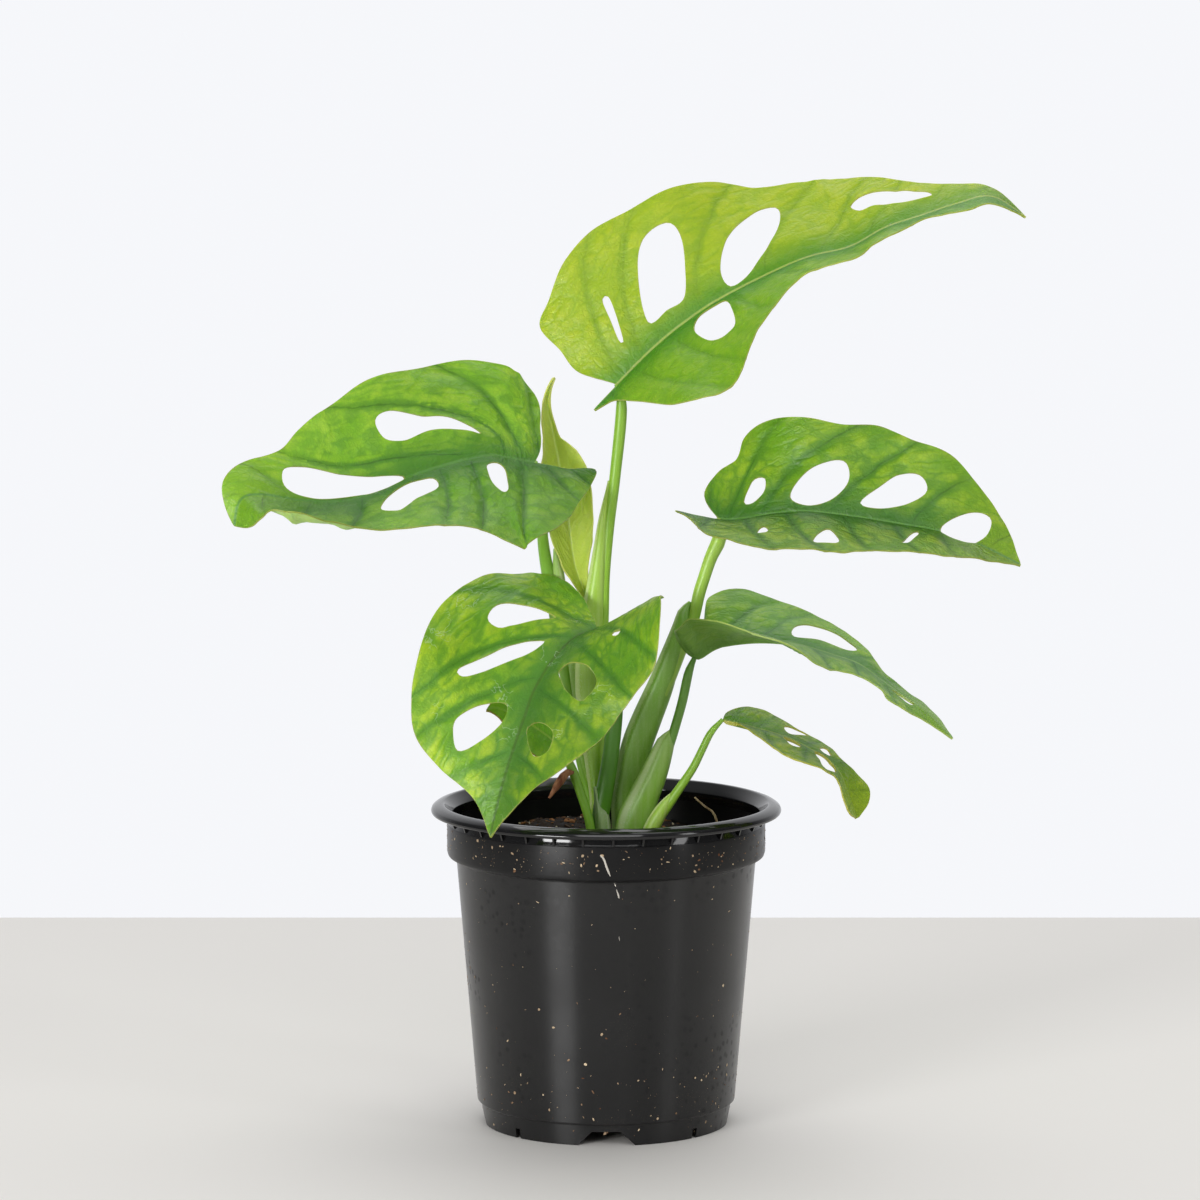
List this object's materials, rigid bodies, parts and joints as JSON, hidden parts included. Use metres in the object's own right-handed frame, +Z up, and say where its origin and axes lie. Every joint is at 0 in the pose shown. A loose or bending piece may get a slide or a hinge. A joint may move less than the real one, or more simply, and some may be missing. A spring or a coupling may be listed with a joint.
{
  "type": "potted swiss cheese vine",
  "caption": "Young potted house plant with long holed heart-shaped leaves on sheathed green stalks, standing in dark potting mix in a tapered black plastic nursery pot.",
  "frame": {"origin": "centre of the pot's underside, on the surface that the pot stands on", "axes": "+Z up along the pot's axis; -Y towards the plant's front, the side the picture shows; +X to the right as seen from the front"},
  "size_m": [0.2692, 0.136, 0.3228],
  "materials": {
    "pot_plastic": "black injection-moulded plastic, satin, with specks of bark and dried water marks",
    "potting_mix": "moist dark peat and bark mix with pale crumbs",
    "leaf": "living leaf, mid green with yellow mottling between the veins, soft gloss",
    "bright_leaf": "young living leaf, yellow green, soft gloss",
    "stalk": "smooth green leaf stalk with a paler thin sheath",
    "dry_sheath": "dry papery brown sheath",
    "root": "thin dry tan root"
  },
  "bodies": {
    "root": {"pot": "pot_plastic", "soil": "potting_mix", "top_leaf": "bright_leaf", "left_leaf": "leaf", "front_leaf": "leaf", "right_leaf": "leaf", "low_leaf": "leaf", "small_leaf": "leaf", "young_leaf": "bright_leaf", "hidden_leaf": "leaf", "top_leaf_stalk": "stalk", "left_leaf_stalk": "stalk", "front_leaf_stalk": "stalk", "right_leaf_stalk": "stalk", "low_leaf_stalk": "stalk", "small_leaf_stalk": "stalk", "hidden_leaf_stalk": "stalk", "dry_tip": "dry_sheath", "aerial_root": "root"}
  },
  "joints": []
}
